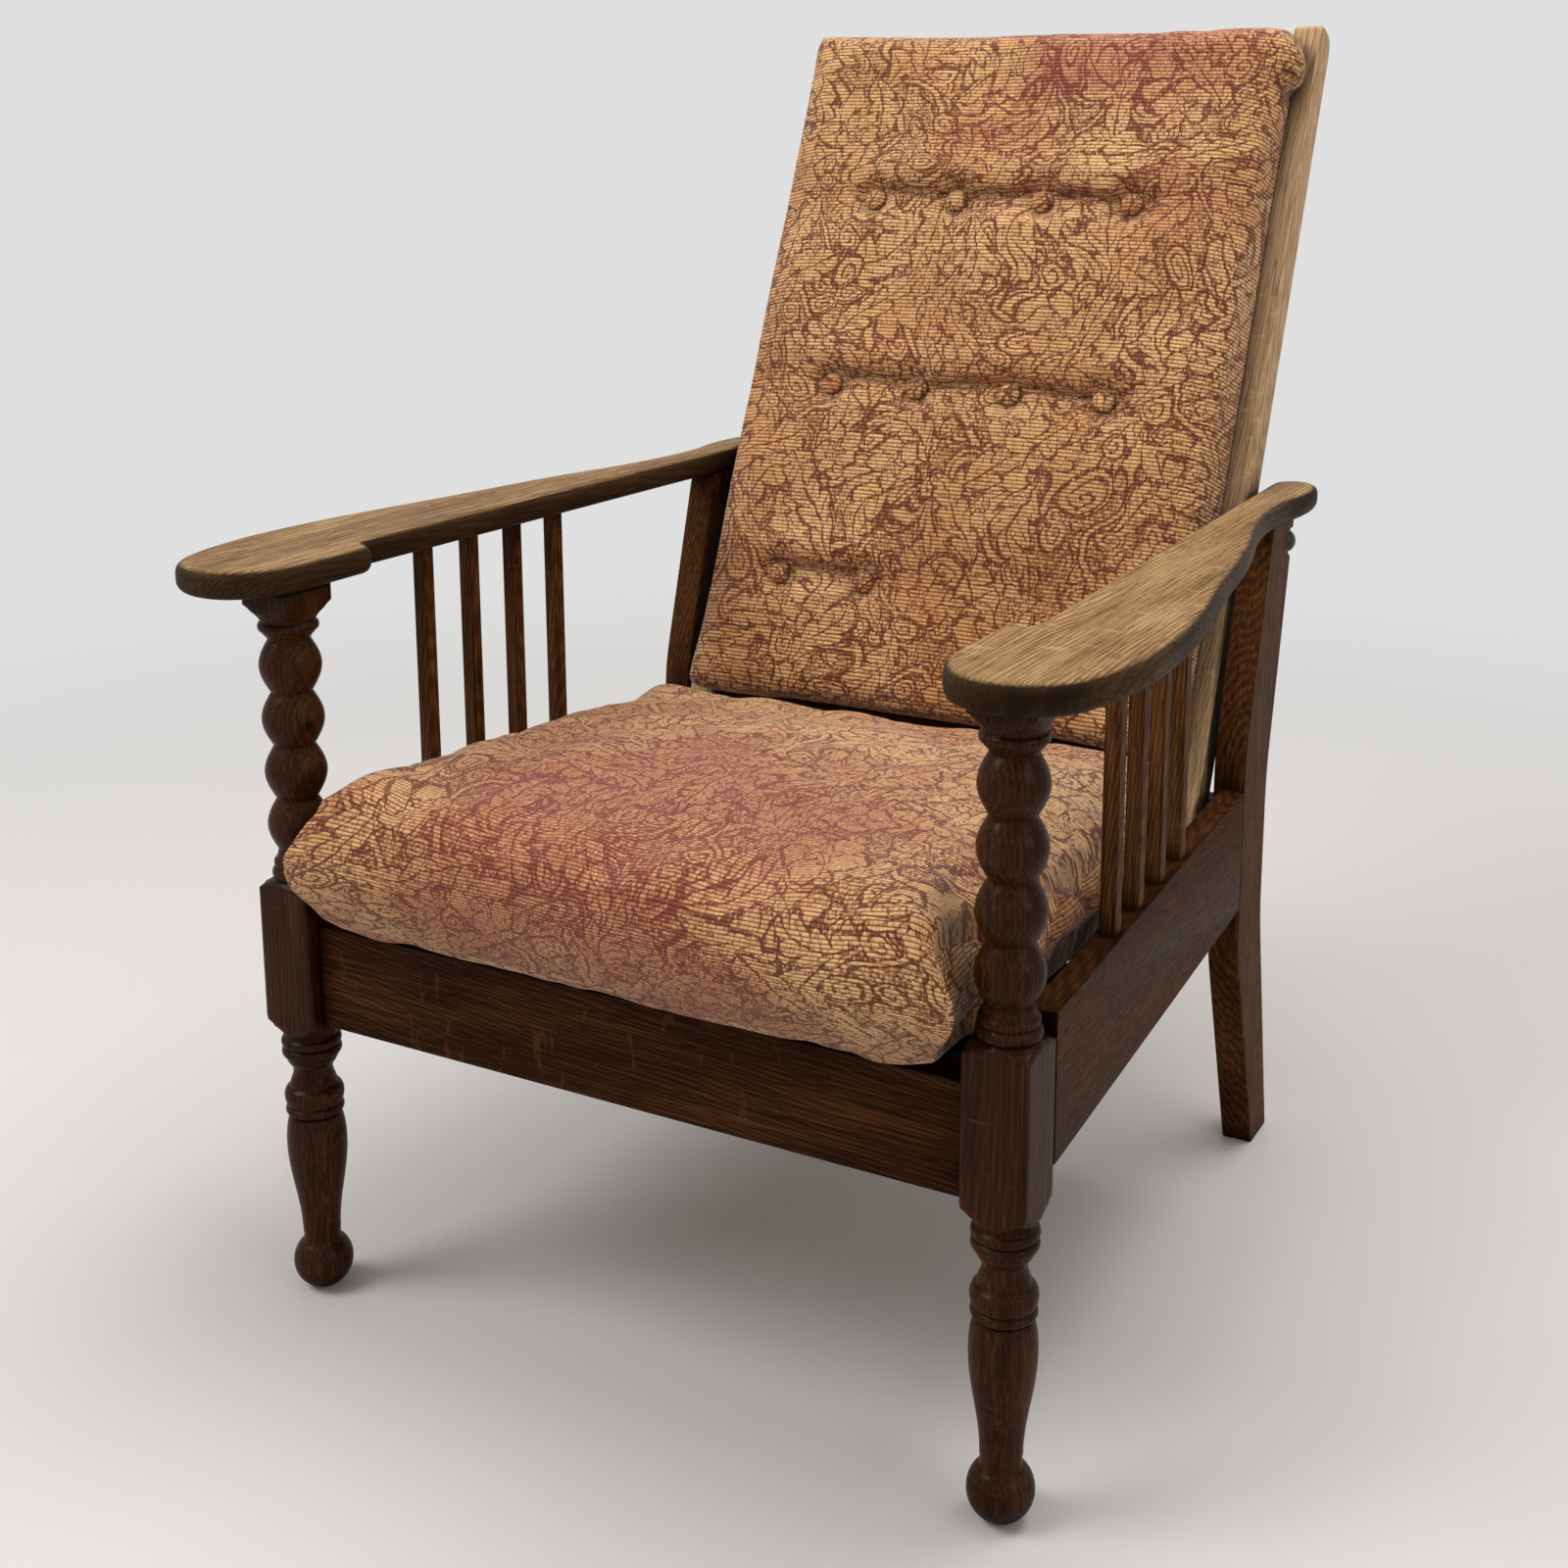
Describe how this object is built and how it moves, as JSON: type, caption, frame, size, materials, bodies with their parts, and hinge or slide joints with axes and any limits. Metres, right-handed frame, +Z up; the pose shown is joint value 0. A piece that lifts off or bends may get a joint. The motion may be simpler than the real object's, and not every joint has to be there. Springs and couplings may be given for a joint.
{
  "type": "reclining armchair",
  "caption": "Oak armchair with turned front legs, slatted sides, flat arms and buttoned cushions; the back reclines on a rod resting in notched racks.",
  "frame": {"origin": "centre of the footprint on the floor", "axes": "+Z up, +Y from the sitter's front to the back, +X to the viewer's right when facing the chair"},
  "size_m": [0.764, 0.8854, 1.0249],
  "materials": {
    "frame_oak": "dark stained oak with worn edges",
    "arm_oak": "stained oak, tops worn to a greyish tan",
    "deck_oak": "plain sawn oak",
    "seat_cloth": "ribbed chenille with a floral scroll pattern",
    "back_cloth": "ribbed chenille with a floral scroll pattern",
    "button_cloth": "ribbed chenille over a button",
    "black_iron": "black japanned iron",
    "hinge_steel": "dull steel"
  },
  "bodies": {
    "frame": {"arm_left": "arm_oak", "arm_right": "arm_oak", "arm_slat_1_left": "frame_oak", "arm_slat_1_right": "frame_oak", "arm_slat_2_left": "frame_oak", "arm_slat_2_right": "frame_oak", "arm_slat_3_left": "frame_oak", "arm_slat_3_right": "frame_oak", "arm_slat_4_left": "frame_oak", "arm_slat_4_right": "frame_oak", "corner_block_left": "deck_oak", "corner_block_right": "deck_oak", "front_leg_left": "frame_oak", "front_leg_right": "frame_oak", "front_rail": "frame_oak", "hinge_leaves_fixed": "hinge_steel", "hinge_pins": "hinge_steel", "rear_post_left": "frame_oak", "rear_post_right": "frame_oak", "rear_rail": "frame_oak", "rod_rack_left": "black_iron", "rod_rack_right": "black_iron", "seat_bearer_left": "deck_oak", "seat_bearer_right": "deck_oak", "seat_cushion": "seat_cloth", "seat_lath_1": "deck_oak", "seat_lath_2": "deck_oak", "seat_lath_3": "deck_oak", "seat_lath_4": "deck_oak", "seat_lath_5": "deck_oak", "seat_lath_6": "deck_oak", "side_rail_left": "frame_oak", "side_rail_right": "frame_oak"},
    "back": {"back_bottom_rail": "frame_oak", "back_buttons": "button_cloth", "back_cushion": "back_cloth", "back_slat_1": "frame_oak", "back_slat_2": "frame_oak", "back_slat_3": "frame_oak", "back_slat_4": "frame_oak", "back_slat_5": "frame_oak", "back_stile_left": "frame_oak", "back_stile_right": "frame_oak", "back_top_rail": "frame_oak", "hinge_leaves_moving": "hinge_steel"},
    "rod": {"rod_balls": "black_iron", "support_rod": "black_iron"}
  },
  "joints": [
    {"name": "back_recline", "type": "hinge", "parent": "frame", "child": "back", "pos_m": [0, 0.16297, 0.347], "axis": [-1, 0, 0], "range_deg": [0, 12]},
    {"name": "rod_travel", "type": "slide", "parent": "frame", "child": "rod", "axis": [0, 0.8721, -0.4894], "range_m": [0, 0.0506]}
  ],
  "couplings": [
    {"joint": "rod_travel", "follows": "back_recline", "m_per_rad": 0.24066}
  ]
}
